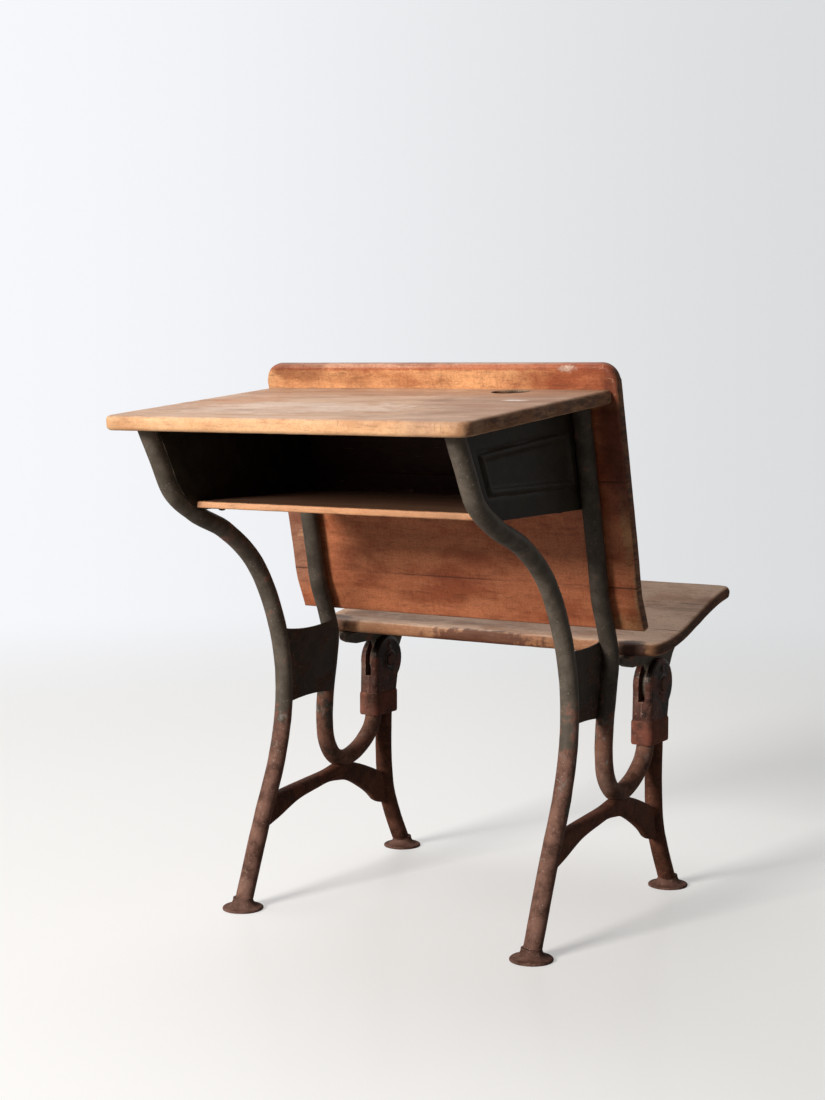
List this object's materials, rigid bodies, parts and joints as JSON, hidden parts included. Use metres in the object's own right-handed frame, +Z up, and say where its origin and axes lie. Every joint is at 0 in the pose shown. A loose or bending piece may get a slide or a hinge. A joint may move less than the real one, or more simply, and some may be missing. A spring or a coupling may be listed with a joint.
{
  "type": "school desk",
  "caption": "School desk with a sloping wooden top over a book box, on bent-tube side frames that also carry a curved wooden back and a seat that folds up.",
  "frame": {"origin": "on the floor, under the middle of the whole desk's width and depth", "axes": "+Z up; +Y the way the student at the desk faces, from the desktop towards the seat; +X to that student's right, the side of the ink-well hole"},
  "size_m": [0.558, 0.7634, 0.7578],
  "materials": {
    "frame_paint": "worn dark paint with a dull sheen",
    "rusty_paint": "dark paint mostly gone to red-brown rust",
    "desk_wood": "worn pale tan wood, satin",
    "back_wood": "red-brown varnish, satin, worn at the edges",
    "seat_wood": "grey-brown worn wood, dull",
    "worn_steel": "dark worn steel"
  },
  "bodies": {
    "frame": {"desk_leg_left": "frame_paint", "desk_leg_right": "frame_paint", "back_post_left": "frame_paint", "back_post_right": "frame_paint", "web_plate_left": "frame_paint", "web_plate_right": "frame_paint", "box_side_left": "frame_paint", "box_side_right": "frame_paint", "seat_leg_left": "rusty_paint", "seat_leg_right": "rusty_paint", "desk_foot_left": "rusty_paint", "desk_foot_right": "rusty_paint", "seat_foot_left": "rusty_paint", "seat_foot_right": "rusty_paint", "arch_brace_left": "rusty_paint", "arch_brace_right": "rusty_paint", "knuckle_inner_left": "rusty_paint", "knuckle_inner_right": "rusty_paint", "knuckle_outer_left": "rusty_paint", "knuckle_outer_right": "rusty_paint", "collar_left": "rusty_paint", "collar_right": "rusty_paint", "hinge_pin_left": "worn_steel", "hinge_pin_right": "worn_steel", "stop_rivet_left": "worn_steel", "stop_rivet_right": "worn_steel", "screw_desktop_near_left": "worn_steel", "screw_desktop_near_right": "worn_steel", "screw_desktop_far_left": "worn_steel", "screw_desktop_far_right": "worn_steel", "screw_shelf_near_left": "worn_steel", "screw_shelf_near_right": "worn_steel", "screw_shelf_far_left": "worn_steel", "screw_shelf_far_right": "worn_steel", "bolt_back_top_left": "worn_steel", "bolt_back_top_right": "worn_steel", "bolt_back_middle_left": "worn_steel", "bolt_back_middle_right": "worn_steel", "bolt_back_bottom_left": "worn_steel", "bolt_back_bottom_right": "worn_steel", "desktop_near": "desk_wood", "desktop_far": "desk_wood", "book_shelf": "desk_wood", "back_top": "back_wood", "back_middle": "back_wood", "back_bottom": "back_wood"},
    "seat": {"seat_arm_left": "rusty_paint", "seat_arm_right": "rusty_paint", "screw_seat_rear_left": "worn_steel", "screw_seat_rear_right": "worn_steel", "screw_seat_middle_left": "worn_steel", "screw_seat_middle_right": "worn_steel", "screw_seat_front_left": "worn_steel", "screw_seat_front_right": "worn_steel", "seat_rear": "seat_wood", "seat_middle": "seat_wood", "seat_front": "seat_wood"}
  },
  "joints": [
    {"name": "seat_fold", "type": "hinge", "parent": "frame", "child": "seat", "pos_m": [0, 0.21798, 0.3055], "axis": [1, 0, 0], "range_deg": [0, 75]}
  ]
}
